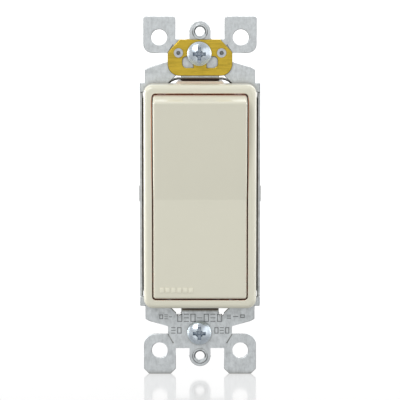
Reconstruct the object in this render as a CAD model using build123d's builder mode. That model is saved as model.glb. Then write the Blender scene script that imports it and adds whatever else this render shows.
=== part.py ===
"""Decorator rocker wall switch, three-way, with a steel mounting strap.

Millimetres. The origin is the middle of the two wall-plate screw holes, on the
strap's front face. X points right, Z points up and the front faces -Y, so depth
behind the strap's front face is positive y.
"""
import os
from math import cos, radians, sin, sqrt, tan

from build123d import *

# ---------------------------------------------------------------- mounting standard
PLATE_SCREW_SPACING = 96.84     # wall-plate screws, centre to centre
BOX_SCREW_SPACING = 83.34       # device-box screws, centre to centre
PLATE_HOLE_Z = PLATE_SCREW_SPACING / 2
BOX_SCREW_Z = BOX_SCREW_SPACING / 2

# ---------------------------------------------------------------- steel strap
STRAP_T = 1.0                   # sheet thickness
NECK_X = 9.55                   # half-width between the shoulders and the ears
SHOULDER_X = 16.25
SHOULDER_Z = 37.2
EAR_X_IN = 7.2
EAR_X_OUT = 16.7
EAR_HOLE_X = 12.0
EAR_HOLE_Z = 46.7
EAR_HOLE_R = 2.35
SCORE_X = 8.75                  # break-off scores, across the roots of the ears
SCORE_Z = 43.2
SCORE_LENGTH = 3.2
SCORE_ANGLE = 31
TOP_EAR_Z = (42.1, 52.9)
BOTTOM_EAR_Z = (41.8, 53.8)
NOTCH_Z = 46.1                  # floor of the gaps between the ears and the centre tab
TAB_R = 3.12
PLATE_HOLE_R = 1.4
COLLAR_R = 2.2
COLLAR_FRONT = 0.35             # how far the drawn collar stands proud
COLLAR_BACK = 1.3
COLLAR_SINK = 0.42              # countersink in the collar's mouth
SLOT_HALF = 2.95                # device screw slot, half its length
SLOT_R = 1.95
OPENING_SUM = 42.5              # the opening's slanted edges lie on x + z = this
FLANGE_X = 5.6
FLANGE_Z = 34.3
FLANGE_Y = 6.0
RELIEF_R = 0.76
RELIEF_Z = 35.5
RAIL_T = 0.8
RAIL_X = 17.8                   # outer face of the side rails
RAIL_Y = (0.6, 7.5)
RAIL_Z = 33.3
SIDE_TAB_Z = (30.5, 33.3)
CATCH_HALF_Z = 2.3
CATCH_Y = (3.2, 5.8)
CATCH_X = 18.0
SCORE_DEPTH = 0.3
SCORE_W = 0.35

# ---------------------------------------------------------------- cover and rocker
COVER_X = 16.6
COVER_Z = 33.2
COVER_FRONT = -6.0
OPEN_X = 14.1                   # rocker opening, half-width
OPEN_Z = 30.6
LIP_T = 0.7
RELIEVED_Z = 31.4
THROAT_X = 16.0
THROAT_Z = 33.75
THROAT_SUM = 40.2               # slanted walls of the throat lie on x + z = this
THROAT_WALL = 2.1
THROAT_BACK = 5.0
BOSS_Z = 30.6                   # body screws, on the centreline
BOSS_R = 2.1

PIVOT_Y = 2.2                   # rocker axis, behind the strap's front face
HALF_SWING = 4.0                # degrees either side of level
ROCKER_X = 13.8
ROCKER_SWEEP_R = 31.2           # the end faces are arcs about the axis
FACE_DEPTH = 8.52               # axis to the face's centre crease
SKIRT_BACK = -5.0
FACE_T = 1.8
SKIRT_T = 1.5
TRUNNION_R = 1.6
TRUNNION_X = 15.2
SEAT_R = 1.65
SEAT_X = 15.4

# ---------------------------------------------------------------- body
BODY_X = 16.9
BODY_Z = 29.6
LUG_X = 5.0                     # end lugs that carry the body screws
LUG_Z = 33.4
BODY_BACK = 26.5
BACK_WALL = 1.5
CAVITY_X = 13.9
CAVITY_Z = 28.1
SHIELD_T = 0.8
BODY_SCREW_R = 1.15
LEDGE_X = 12.3                  # ledges under the arc shield
LEDGE_Z = (16.5, 18.9)
STRIP_PILLAR_X = (9, 12)        # pillars behind the terminal strips
STRIP_PILLAR_Z = (20.8, 23.6)
CONTACT_PILLAR = (2.3, 1.9)     # half-sizes of the pillars behind the fixed contacts
CRADLE_PILLAR = (4, 2.8)        # and of the one behind the cradle
WIRE_HOLE_R = 1.15              # push-in wire holes in the rear wall
WIRE_HOLE_X = 10.8
WIRE_HOLE_Z = 17.6
RELEASE_SIZE = (3.0, 1.0)       # release slots beside them
RELEASE_Z = 14.2
LABEL_SIZE = (17.0, 13.0)       # plain panel sunk in the rear wall
LABEL_SINK = 0.3
GAUGE_SIZE = (15.0, 1.8)        # strip gauge groove
GAUGE_Z = 10.6
GAUGE_SINK = 0.5
BODY_HEAD_R = 2.1
BODY_DRIVE = (1.3, 0.3)         # half-sizes of one arm of the cross

# ---------------------------------------------------------------- mechanism
PLUNGER_R = 2.2
BORE_R = 2.26
NOSE_R = 1.5
NOSE_CENTRE = 8.5               # axis of the rocker to the nose's centre
PLUNGER_HEAD = -2.0
PLUNGER_SHOULDER = 6.3
ARM_PIVOT_Y = 13.7
ARM_SWING = 6.0
ARM_BAR_R = 1.0
ARM_HALF = 12.5
ARM_X = 3.0
ARM_T = 0.8
ARM_BACK = -0.6                 # rear face of the arm, from its own axis
CONTACT_Z = 10.5
CONTACT_R = 1.6
CONTACT_T = 0.8
FIXED_APEX_Y = 15.08
FIXED_BACK_Y = 16.2
DOME_RISE = 0.3

# ---------------------------------------------------------------- terminals
STRIP_T = 0.8
TERMINAL_Z = 24.2
TERMINAL_HALF = 3.8
TERMINAL_SCREW_Y = 12.2
TERMINAL_HEAD_R = 3.4
TERMINAL_HEAD_X = (16.45, 17.95)
TERMINAL_SHANK_R = 1.75
THREAD_ROOM = 0.05
GROUND_TAB_HALF = 3.5
TERMINAL_TIP_X = 11.9
POCKET_HALF = 3.7
POCKET_Y = (8.2, 16.4)
TRAVELER_Y = FIXED_BACK_Y
COMMON_Y = 17.2

# ---------------------------------------------------------------- device screws
HEAD_R = 3.55
HEAD_H = 2.1
RIM_H = 0.7                     # straight side of the head below its dome
SCREW_X = -0.2                  # the screws lie a little left and high in their slots
SCREW_Z = 0.3
DRIVE_CUTS = ((0.55, 4.0, 0.8), (1.9, 0.5, 1.2), (0.5, 1.9, 1.2))   # half-widths, depth
DRIVE_CONE = (1.25, 0.5, 1.6)   # front radius, back radius, depth
NECK_R = 1.45
THREAD_R = 1.75
THREAD_Y = 2.3
TIP_Y = 21.5
CLIP_T = 0.5
RETAINER_Y = (STRAP_T, 1.9)
RETAINER_HALF = 4.2

os.makedirs("parts", exist_ok=True)


def depth_plane(y):
    """A sketch plane facing the front at depth y, with local axes X and Z."""
    return Plane.XZ.offset(-y)


def block(x, y, z, mode=Mode.ADD):
    """A box between two limits along each axis."""
    centre = tuple((limits[0] + limits[1]) / 2 for limits in (x, y, z))
    with Locations(centre):
        Box(x[1] - x[0], y[1] - y[0], z[1] - z[0], mode=mode)


def rod_y(radius, x, z, y, mode=Mode.ADD):
    """A cylinder along Y between two depths."""
    with Locations((x, (y[0] + y[1]) / 2, z)):
        Cylinder(radius, y[1] - y[0], rotation=(90, 0, 0), mode=mode)


def rod_x(radius, x, y, z, mode=Mode.ADD):
    """A cylinder along X between two limits."""
    with Locations(((x[0] + x[1]) / 2, y, z)):
        Cylinder(radius, x[1] - x[0], rotation=(0, 90, 0), mode=mode)


def octagon(half_x, half_z, slant):
    """The four-corner-cut outline whose slanted edges lie on x + z = slant."""
    return [
        (half_x, slant - half_x), (slant - half_z, half_z),
        (half_z - slant, half_z), (-half_x, slant - half_x),
        (-half_x, half_x - slant), (half_z - slant, -half_z),
        (slant - half_z, -half_z), (half_x, half_x - slant),
    ]


def save(piece, name):
    """Label one finished piece and write it to its own file."""
    piece.part.label = name
    export_step(piece.part, f"parts/{name}.step")


# Planes that tilt with the moving pieces at rest: the rocker's top stands out and
# the contact arm's upper end lies to the rear.
rocker_tilt = radians(HALF_SWING)
rocker_inward = Vector(0, cos(rocker_tilt), sin(rocker_tilt))
rocker_side = Plane(origin=(0, PIVOT_Y, 0), x_dir=rocker_inward, z_dir=(1, 0, 0))
rocker_axial = Plane(origin=(0, PIVOT_Y, 0), x_dir=(1, 0, 0), z_dir=rocker_inward)
arm_tilt = radians(-ARM_SWING)
arm_inward = Vector(0, cos(arm_tilt), sin(arm_tilt))
arm_side = Plane(origin=(0, ARM_PIVOT_Y, 0), x_dir=arm_inward, z_dir=(1, 0, 0))
arm_axial = Plane(origin=(0, ARM_PIVOT_Y, 0), x_dir=(1, 0, 0), z_dir=arm_inward)


# ================================================================ strap
# Each ear: the heights of its root and tip, the radius at its outer root, the cut at
# its tip corners and the radius that rounds those cuts.
ears = {1: (*TOP_EAR_Z, 2.7, 0.5, 0.6), -1: (*BOTTOM_EAR_Z, 3.2, 1.5, 0.3)}

with BuildPart() as mounting_strap:
    with BuildSketch(depth_plane(0)):
        for up in (1, -1):
            with BuildLine():
                right = [
                    (FLANGE_X, up * FLANGE_Z),
                    (FLANGE_X, up * (OPENING_SUM - FLANGE_X - 2 * RELIEF_R)),
                    (FLANGE_X + 2 * RELIEF_R, up * (OPENING_SUM - FLANGE_X - 2 * RELIEF_R)),
                    (SHOULDER_X, up * (OPENING_SUM - SHOULDER_X)),
                    (SHOULDER_X, up * SHOULDER_Z),
                    (SHOULDER_X - 1.2, up * (SHOULDER_Z + 0.7)),
                    (NECK_X, up * (SHOULDER_Z + 2.25)),
                    (NECK_X, up * NOTCH_Z),
                ]
                left = [(-x, z) for x, z in reversed(right)]
                Polyline(*right, *left, close=True)
            make_face()
            root_z, tip_z, root_r, cut, cut_r = ears[up]
            for side in (1, -1):
                with BuildLine():
                    FilletPolyline(
                        (side * EAR_X_IN, up * root_z),
                        (side * EAR_X_OUT, up * root_z),
                        (side * EAR_X_OUT, up * (tip_z - cut)),
                        (side * (EAR_X_OUT - cut), up * tip_z),
                        (side * (EAR_X_IN + cut), up * tip_z),
                        (side * EAR_X_IN, up * (tip_z - cut)),
                        radius=[0, root_r, cut_r, cut_r, cut_r, cut_r],
                        close=True,
                    )
                make_face()
            with Locations((0, up * (NOTCH_Z + PLATE_HOLE_Z) / 2)):
                Rectangle(2 * TAB_R, PLATE_HOLE_Z - NOTCH_Z + 0.2)
            with Locations((0, up * PLATE_HOLE_Z)):
                Circle(TAB_R)
            with Locations((0, up * BOX_SCREW_Z)):
                SlotCenterToCenter(2 * (SLOT_HALF - SLOT_R), 2 * SLOT_R, mode=Mode.SUBTRACT)
            with Locations(*[(side * EAR_HOLE_X, up * EAR_HOLE_Z) for side in (1, -1)]):
                Circle(EAR_HOLE_R, mode=Mode.SUBTRACT)
            with Locations(*[(side * (FLANGE_X + RELIEF_R), up * RELIEF_Z) for side in (1, -1)]):
                Circle(RELIEF_R, mode=Mode.SUBTRACT)
    extrude(amount=-STRAP_T)

    for up in (1, -1):
        # drawn and tapped collar for the wall-plate screw
        rod_y(COLLAR_R, 0, up * PLATE_HOLE_Z, (-COLLAR_FRONT, COLLAR_BACK + STRAP_T))
        rod_y(PLATE_HOLE_R, 0, up * PLATE_HOLE_Z, (-1, 4), mode=Mode.SUBTRACT)
        with Locations((0, -COLLAR_FRONT + COLLAR_SINK / 2, up * PLATE_HOLE_Z)):
            Cone(PLATE_HOLE_R + COLLAR_SINK, PLATE_HOLE_R, COLLAR_SINK, rotation=(-90, 0, 0),
                 mode=Mode.SUBTRACT)
        # centre flange, bent back beside the cover's throat
        flange = sorted((up * FLANGE_Z, up * (FLANGE_Z + STRAP_T)))
        block((-FLANGE_X, FLANGE_X), (0, FLANGE_Y), flange)
        for side in (1, -1):
            tab_x = sorted((side * (SHOULDER_X - 0.5), side * RAIL_X))
            tab_z = sorted((up * SIDE_TAB_Z[0], up * SIDE_TAB_Z[1]))
            block(tab_x, (0, STRAP_T), tab_z)
            score = Location((side * SCORE_X, 0, up * SCORE_Z), (0, -side * up * SCORE_ANGLE, 0))
            with Locations(score):
                Box(SCORE_W, 2 * SCORE_DEPTH, SCORE_LENGTH, mode=Mode.SUBTRACT)

    for side in (1, -1):
        rail_x = sorted((side * (RAIL_X - RAIL_T), side * RAIL_X))
        block(rail_x, RAIL_Y, (-RAIL_Z, RAIL_Z))
        # window for the body's catch
        block(rail_x, (CATCH_Y[0] - 0.2, CATCH_Y[1] + 0.2),
              (-CATCH_HALF_Z - 0.2, CATCH_HALF_Z + 0.2), mode=Mode.SUBTRACT)

    # ground tab: in from the left rail, then back behind the ground screw
    ground_z = (-TERMINAL_Z - GROUND_TAB_HALF, -TERMINAL_Z + GROUND_TAB_HALF)
    block((-RAIL_X, -CAVITY_X + STRIP_T), (RAIL_Y[1] - STRIP_T, RAIL_Y[1]), ground_z)
    block((-CAVITY_X, -CAVITY_X + STRIP_T), (RAIL_Y[1] - STRIP_T, POCKET_Y[1]), ground_z)
    rod_x(TERMINAL_SHANK_R + THREAD_ROOM, (-CAVITY_X - 1, -CAVITY_X + 2), TERMINAL_SCREW_Y,
          -TERMINAL_Z, mode=Mode.SUBTRACT)

    # bends: the centre flanges and the side tabs turn back on a radius
    bends = mounting_strap.edges().filter_by(Axis.X).filter_by_position(Axis.Y, -0.01, 0.01)
    fillet([edge for edge in bends if abs(abs(edge.center().Z) - FLANGE_Z) < 0.01], 0.9)
    corners = mounting_strap.edges().filter_by(Axis.Z).filter_by_position(Axis.Y, -0.01, 0.01)
    fillet([edge for edge in corners if abs(abs(edge.center().X) - RAIL_X) < 0.01], 0.5)
save(mounting_strap, "mounting_strap")


# ================================================================ grounding clip
CLIP_X = 9.5
CLIP_Z = (35.4, 46.1)
CLIP_CUT_X = 6.0                # the upper corners are cut between these two
CLIP_CUT_Z = 42.3
CLIP_HOLE_R = 3.0               # covered by the screw's head
CLIP_WINDOW_X = 5.2             # window under the screw, half-width
CLIP_WINDOW_Z = (37.7, 41.1)
TONGUE_X = 1.95                 # spring tongue that bears on the screw, half-width
TONGUE_Z = 40.2
EYELET_HOLE_R = 1.0
EYELET_RADII = (0.62, 0.98, 1.35)    # bore, shank and flange
EYELET_FLANGE = 0.4
RIVET_X = 6.35
RIVET_Z = 42.2
with BuildPart() as grounding_clip:
    with BuildSketch(depth_plane(-CLIP_T)):
        with BuildLine():
            FilletPolyline(
                (-CLIP_X, CLIP_CUT_Z), (-CLIP_X, CLIP_Z[0]), (CLIP_X, CLIP_Z[0]),
                (CLIP_X, CLIP_CUT_Z), (CLIP_CUT_X, CLIP_Z[1]), (-CLIP_CUT_X, CLIP_Z[1]),
                radius=[1.4, 3.4, 3.4, 1.4, 0.6, 0.6],
                close=True,
            )
        make_face()
        with Locations((0, BOX_SCREW_Z + SCREW_Z)):
            Circle(CLIP_HOLE_R, mode=Mode.SUBTRACT)
        with Locations((0, sum(CLIP_WINDOW_Z) / 2)):
            RectangleRounded(2 * CLIP_WINDOW_X, CLIP_WINDOW_Z[1] - CLIP_WINDOW_Z[0], 1.3,
                             mode=Mode.SUBTRACT)
        with Locations((0, (CLIP_Z[0] + 1 + TONGUE_Z) / 2)):
            Rectangle(2 * TONGUE_X, TONGUE_Z - CLIP_Z[0] - 1)
        with Locations(*[(side * RIVET_X, RIVET_Z) for side in (1, -1)]):
            Circle(EYELET_HOLE_R, mode=Mode.SUBTRACT)
    extrude(amount=-CLIP_T)
save(grounding_clip, "grounding_clip")

with BuildPart() as grounding_clip_rivets:
    flange_y = -CLIP_T - EYELET_FLANGE
    for side in (1, -1):
        bore_x, shank_x, flange_x = [side * RIVET_X + r for r in EYELET_RADII]
        with BuildSketch(Plane.XY.offset(RIVET_Z)):
            with BuildLine():
                Polyline((bore_x, flange_y), (flange_x, flange_y), (flange_x, -CLIP_T),
                         (shank_x, -CLIP_T), (shank_x, 0), (bore_x, 0), close=True)
            make_face()
        revolve(axis=Axis((side * RIVET_X, 0, RIVET_Z), (0, 1, 0)))
save(grounding_clip_rivets, "grounding_clip_rivets")


# ================================================================ device screws
with BuildPart() as mounting_screws:
    for up, seat in ((1, -CLIP_T), (-1, 0)):
        centre_z = up * BOX_SCREW_Z + SCREW_Z
        crown = seat - HEAD_H
        profile = [(HEAD_R, seat - RIM_H), (HEAD_R, seat), (NECK_R, seat), (NECK_R, THREAD_Y),
                   (THREAD_R, THREAD_Y), (THREAD_R, TIP_Y - 0.8), (1.0, TIP_Y), (0, TIP_Y),
                   (0, crown)]
        with BuildSketch(Plane(origin=(SCREW_X, 0, centre_z), x_dir=(1, 0, 0), z_dir=(0, 0, 1))):
            with BuildLine():
                TangentArc((0, crown), profile[0], tangent=(1, 0))
                Polyline(*profile)
            make_face()
        revolve(axis=Axis((SCREW_X, 0, centre_z), (0, 1, 0)))
        # combination drive: a full-width slot and a tapered cross
        for half_x, half_z, depth in DRIVE_CUTS:
            block((SCREW_X - half_x, SCREW_X + half_x), (crown - 0.1, crown + depth),
                  (centre_z - half_z, centre_z + half_z), mode=Mode.SUBTRACT)
        with Locations((SCREW_X, crown + DRIVE_CONE[2] / 2 - 0.1, centre_z)):
            Cone(*DRIVE_CONE, rotation=(-90, 0, 0), mode=Mode.SUBTRACT)
save(mounting_screws, "mounting_screws")

with BuildPart() as screw_retainers:
    for up in (1, -1):
        with BuildSketch(depth_plane(RETAINER_Y[0])):
            with Locations((SCREW_X, up * BOX_SCREW_Z + SCREW_Z)):
                RectangleRounded(2 * RETAINER_HALF, 2 * RETAINER_HALF, 0.8)
                Circle(NECK_R + 0.05, mode=Mode.SUBTRACT)
        extrude(amount=RETAINER_Y[0] - RETAINER_Y[1])
save(screw_retainers, "screw_retainers")


# ================================================================ cover
with BuildPart() as cover_frame:
    with BuildSketch(depth_plane(COVER_FRONT)):
        RectangleRounded(2 * COVER_X, 2 * COVER_Z, 2.8)
    extrude(amount=COVER_FRONT)
    rim = cover_frame.faces().sort_by(Axis.Y)[0].outer_wire().edges()
    fillet(rim, 1.4)
    # throat: an eight-sided wall that passes through the strap
    with BuildSketch(depth_plane(0)):
        with BuildLine():
            Polyline(*octagon(THROAT_X, THROAT_Z, THROAT_SUM), close=True)
        make_face()
    extrude(amount=-THROAT_BACK)
    inner_slant = THROAT_SUM - THROAT_WALL * sqrt(2)
    with BuildSketch(depth_plane(0)):
        with BuildLine():
            Polyline(*octagon(OPEN_X, RELIEVED_Z, inner_slant), close=True)
        make_face()
    extrude(amount=-THROAT_BACK, mode=Mode.SUBTRACT)
    # rocker opening: a lip at the front and relief behind it
    with BuildSketch(depth_plane(COVER_FRONT)):
        RectangleRounded(2 * OPEN_X, 2 * OPEN_Z, 1.0)
    extrude(amount=COVER_FRONT, mode=Mode.SUBTRACT)
    with BuildSketch(depth_plane(COVER_FRONT + LIP_T)):
        RectangleRounded(2 * OPEN_X, 2 * RELIEVED_Z, 1.0)
    extrude(amount=COVER_FRONT + LIP_T, mode=Mode.SUBTRACT)
    lip = cover_frame.edges().filter_by_position(Axis.Y, COVER_FRONT - 0.01, COVER_FRONT + 0.01)
    fillet([edge for edge in lip if abs(edge.center().X) <= OPEN_X + 0.01
            and abs(edge.center().Z) <= OPEN_Z + 0.01], 0.3)
    for side in (1, -1):
        seat = sorted((side * (OPEN_X - 1), side * SEAT_X))
        rod_x(SEAT_R, seat, PIVOT_Y, 0, mode=Mode.SUBTRACT)
    for up in (1, -1):
        rod_y(BOSS_R, 0, up * BOSS_Z, (0.3, THROAT_BACK))
        rod_y(BODY_SCREW_R + 0.05, 0, up * BOSS_Z, (1.3, THROAT_BACK + 1), mode=Mode.SUBTRACT)
save(cover_frame, "cover_frame")


# ================================================================ rocker
corner_z = 29.34
corner_depth = -(FACE_DEPTH + corner_z * tan(radians(HALF_SWING)))
skirt_z = sqrt(ROCKER_SWEEP_R**2 - SKIRT_BACK**2)
mid_depth = (corner_depth + SKIRT_BACK) / 2
mid_z = sqrt(ROCKER_SWEEP_R**2 - mid_depth**2)
with BuildPart() as rocker:
    with BuildSketch(rocker_side):
        with BuildLine():
            Line((SKIRT_BACK, -skirt_z), (SKIRT_BACK, skirt_z))
            ThreePointArc((SKIRT_BACK, skirt_z), (mid_depth, mid_z), (corner_depth, corner_z))
            Polyline((corner_depth, corner_z), (-FACE_DEPTH, 0), (corner_depth, -corner_z))
            ThreePointArc((corner_depth, -corner_z), (mid_depth, -mid_z), (SKIRT_BACK, -skirt_z))
        make_face()
    extrude(amount=ROCKER_X, both=True)
    local = rocker_side.to_local_coords
    rounded = []
    for edge in rocker.edges():
        middle = local(edge.center())
        crease = abs(middle.Y) < 0.1 and abs(middle.Z) < 0.1
        if middle.X < SKIRT_BACK - 0.2 and not crease:
            rounded.append(edge)
    fillet(rounded, 0.75)
    # hollow behind the face
    with BuildSketch(rocker_side):
        with BuildLine():
            inner_z = corner_z - 0.6
            inner_depth = corner_depth + FACE_T
            Polyline((0, -inner_z), (inner_depth, -inner_z + 0.5), (-FACE_DEPTH + FACE_T, 0),
                     (inner_depth, inner_z - 0.5), (0, inner_z), close=True)
        make_face()
    extrude(amount=ROCKER_X - SKIRT_T, both=True, mode=Mode.SUBTRACT)
    # pivot ears and trunnions
    for side in (1, -1):
        with BuildSketch(rocker_side.offset(side * (ROCKER_X - SKIRT_T))):
            with BuildLine():
                Polyline((SKIRT_BACK - 1, -8), (SKIRT_BACK, -8), (0, -2.6), (0, 2.6),
                         (SKIRT_BACK, 8), (SKIRT_BACK - 1, 8), close=True)
            make_face()
            Circle(2.6)
        extrude(amount=side * SKIRT_T)
        with BuildSketch(rocker_side.offset(side * (ROCKER_X - SKIRT_T))):
            Circle(TRUNNION_R)
        extrude(amount=side * (TRUNNION_X - ROCKER_X + SKIRT_T))
    # guide tube for the plunger, with two ribs to the side walls
    with BuildSketch(rocker_axial.offset(-FACE_DEPTH + FACE_T - 0.3)):
        Circle(PLUNGER_R + 1.2)
        for side in (1, -1):
            with Locations((side * (ROCKER_X - SKIRT_T + PLUNGER_R) / 2, 0)):
                Rectangle(ROCKER_X - SKIRT_T - PLUNGER_R, 1.4)
    extrude(amount=FACE_DEPTH - FACE_T + 0.3 + 2.2)
    with BuildSketch(rocker_axial.offset(-FACE_DEPTH + FACE_T + 0.4)):
        Circle(BORE_R)
    extrude(amount=FACE_DEPTH + 4, mode=Mode.SUBTRACT)
save(rocker, "rocker")

with BuildPart() as plunger:
    with BuildSketch(rocker_side):
        with BuildLine():
            Polyline((PLUNGER_HEAD, 0), (PLUNGER_HEAD, PLUNGER_R), (PLUNGER_SHOULDER, PLUNGER_R),
                     (PLUNGER_SHOULDER + PLUNGER_R - NOSE_R, NOSE_R), (NOSE_CENTRE, NOSE_R))
            RadiusArc((NOSE_CENTRE, NOSE_R), (NOSE_CENTRE + NOSE_R, 0), NOSE_R)
            Line((NOSE_CENTRE + NOSE_R, 0), (PLUNGER_HEAD, 0))
        make_face()
    revolve(axis=Axis((0, PIVOT_Y, 0), rocker_inward))
save(plunger, "plunger")

SPRING_WIRE = 0.45
SPRING_R = 1.7
SPRING_Y = (-FACE_DEPTH + FACE_T + 0.4, PLUNGER_HEAD - 0.45)
spring_length = SPRING_Y[1] - SPRING_Y[0] - SPRING_WIRE
with BuildPart() as plunger_spring:
    coil_foot = Vector(0, PIVOT_Y, 0) + rocker_inward * (SPRING_Y[0] + SPRING_WIRE / 2)
    with BuildLine():
        coil = Helix(pitch=spring_length / 4.5, height=spring_length, radius=SPRING_R,
                     center=coil_foot, direction=rocker_inward)
    with BuildSketch(Plane(origin=coil @ 0, z_dir=coil % 0)):
        Circle(SPRING_WIRE / 2)
    sweep(path=coil, is_frenet=True)
save(plunger_spring, "plunger_spring")


# ================================================================ body
with BuildPart() as back_body:
    block((-BODY_X, BODY_X), (STRAP_T, BODY_BACK), (-BODY_Z, BODY_Z))
    block((-LUG_X, LUG_X), (THROAT_BACK, BODY_BACK), (-LUG_Z, LUG_Z))
    fillet(back_body.edges().filter_by(Axis.Y), 1.2)
    fillet(back_body.faces().sort_by(Axis.Y)[-1].outer_wire().edges(), 0.7)
    # room for the cover's throat, then the cavity behind it
    with BuildSketch(depth_plane(STRAP_T)):
        with BuildLine():
            Polyline(*octagon(THROAT_X + 0.1, THROAT_Z + 0.2, THROAT_SUM + 0.15), close=True)
        make_face()
    extrude(amount=STRAP_T - THROAT_BACK, mode=Mode.SUBTRACT)
    floor_y = BODY_BACK - BACK_WALL
    block((-CAVITY_X, CAVITY_X), (THROAT_BACK - 0.1, floor_y), (-CAVITY_Z, CAVITY_Z),
          mode=Mode.SUBTRACT)
    # ledges under the arc shield
    for side in (1, -1):
        for up in (1, -1):
            block(sorted((side * LEDGE_X, side * CAVITY_X)), (THROAT_BACK + SHIELD_T, floor_y),
                  sorted((up * LEDGE_Z[0], up * LEDGE_Z[1])))
    # pillars behind the contacts, the cradle and the terminal strips
    half_x, half_z = CRADLE_PILLAR
    block((-half_x, half_x), (COMMON_Y + STRIP_T, floor_y), (-half_z, half_z))
    half_x, half_z = CONTACT_PILLAR
    for up in (1, -1):
        block((-half_x, half_x), (TRAVELER_Y + STRIP_T, floor_y),
              (up * CONTACT_Z - half_z, up * CONTACT_Z + half_z))
        block(STRIP_PILLAR_X, (TRAVELER_Y + STRIP_T, floor_y),
              sorted((up * STRIP_PILLAR_Z[0], up * STRIP_PILLAR_Z[1])))
    block((-STRIP_PILLAR_X[1], -STRIP_PILLAR_X[0]), (COMMON_Y + STRIP_T, floor_y), STRIP_PILLAR_Z)
    # windows for the terminal screws
    for side, up, front in ((1, 1, POCKET_Y[0]), (1, -1, POCKET_Y[0]), (-1, 1, POCKET_Y[0]),
                            (-1, -1, RAIL_Y[1] - STRIP_T - 0.1)):
        pocket_x = sorted((side * (CAVITY_X - 0.5), side * (BODY_X + 1)))
        block(pocket_x, (front, POCKET_Y[1] + 0.1),
              (up * TERMINAL_Z - POCKET_HALF, up * TERMINAL_Z + POCKET_HALF), mode=Mode.SUBTRACT)
    for side in (1, -1):
        # catch that snaps into the strap's window
        with BuildSketch(Plane.XY.offset(-CATCH_HALF_Z)):
            with BuildLine():
                Polyline((side * (BODY_X - 0.2), CATCH_Y[0]), (side * CATCH_X, CATCH_Y[0]),
                         (side * CATCH_X, CATCH_Y[0] + 0.8), (side * (BODY_X + 0.2), CATCH_Y[1]),
                         (side * (BODY_X - 0.2), CATCH_Y[1]), close=True)
            make_face()
        extrude(amount=2 * CATCH_HALF_Z)
    for up in (1, -1):
        rod_y(BODY_SCREW_R + 0.2, 0, up * BOSS_Z, (STRAP_T, BODY_BACK + 1), mode=Mode.SUBTRACT)
        rod_y(BODY_HEAD_R + 0.2, 0, up * BOSS_Z, (BODY_BACK - 2, BODY_BACK + 1),
              mode=Mode.SUBTRACT)
    # rear face: push-in wire holes with their release slots, a label panel and a strip gauge
    corners = [(side, up) for side in (1, -1) for up in (1, -1)]
    with BuildSketch(depth_plane(BODY_BACK)):
        with Locations(*[(side * WIRE_HOLE_X, up * WIRE_HOLE_Z) for side, up in corners]):
            Circle(WIRE_HOLE_R)
        with Locations(*[(side * WIRE_HOLE_X, up * RELEASE_Z) for side, up in corners]):
            Rectangle(*RELEASE_SIZE)
    extrude(amount=BACK_WALL, mode=Mode.SUBTRACT)
    with BuildSketch(depth_plane(BODY_BACK)):
        RectangleRounded(*LABEL_SIZE, 1.2)
    extrude(amount=LABEL_SINK, mode=Mode.SUBTRACT)
    with BuildSketch(depth_plane(BODY_BACK)):
        with Locations((0, -GAUGE_Z)):
            SlotOverall(*GAUGE_SIZE)
    extrude(amount=GAUGE_SINK, mode=Mode.SUBTRACT)
save(back_body, "back_body")

with BuildPart() as body_screws:
    for up in (1, -1):
        rod_y(BODY_SCREW_R, 0, up * BOSS_Z, (1.6, BODY_BACK - 2))
        rod_y(BODY_HEAD_R, 0, up * BOSS_Z, (BODY_BACK - 2, BODY_BACK - 0.4))
        for half_x, half_z in (BODY_DRIVE, BODY_DRIVE[::-1]):
            block((-half_x, half_x), (BODY_BACK - 1.2, BODY_BACK),
                  (up * BOSS_Z - half_z, up * BOSS_Z + half_z), mode=Mode.SUBTRACT)
save(body_screws, "body_screws")

with BuildPart() as arc_shield:
    with BuildSketch(depth_plane(THROAT_BACK)):
        RectangleRounded(2 * CAVITY_X - 0.4, 2 * CAVITY_Z - 0.4, 1.0)
        SlotCenterToCenter(2.4, 5.6, rotation=90, mode=Mode.SUBTRACT)
    extrude(amount=-SHIELD_T)
save(arc_shield, "arc_shield")


# ================================================================ contacts
with BuildPart() as contact_arm:
    with BuildSketch(arm_axial.offset(ARM_BACK - ARM_T)):
        RectangleRounded(2 * ARM_X, 2 * ARM_HALF, 1.4)
    extrude(amount=ARM_T)
    with BuildSketch(arm_side.offset(-4.6)):
        Circle(ARM_BAR_R)
    extrude(amount=9.2)
save(contact_arm, "contact_arm")

with BuildPart() as moving_contacts:
    with BuildSketch(arm_axial.offset(ARM_BACK)):
        with Locations((0, CONTACT_Z), (0, -CONTACT_Z)):
            Circle(CONTACT_R)
    extrude(amount=CONTACT_T)
save(moving_contacts, "moving_contacts")

with BuildPart() as fixed_contacts:
    for up in (1, -1):
        with BuildSketch(Plane.XY.offset(up * CONTACT_Z)):
            with BuildLine():
                TangentArc((0, FIXED_APEX_Y), (CONTACT_R, FIXED_APEX_Y + DOME_RISE),
                           tangent=(1, 0))
                Polyline((CONTACT_R, FIXED_APEX_Y + DOME_RISE), (CONTACT_R, FIXED_BACK_Y),
                         (0, FIXED_BACK_Y), (0, FIXED_APEX_Y))
            make_face()
        revolve(axis=Axis((0, 0, up * CONTACT_Z), (0, 1, 0)))
save(fixed_contacts, "fixed_contacts")

with BuildPart() as arm_cradle:
    block((-4.1, 4.1), (COMMON_Y - STRIP_T, COMMON_Y), (-2.8, 2.8))
    for side in (1, -1):
        cheek = sorted((side * 3.3, side * 4.1))
        block(cheek, (ARM_PIVOT_Y - 1.9, COMMON_Y), (-2.6, 2.6))
        rod_x(ARM_BAR_R + 0.07, cheek, ARM_PIVOT_Y, 0, mode=Mode.SUBTRACT)
save(arm_cradle, "arm_cradle")


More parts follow.
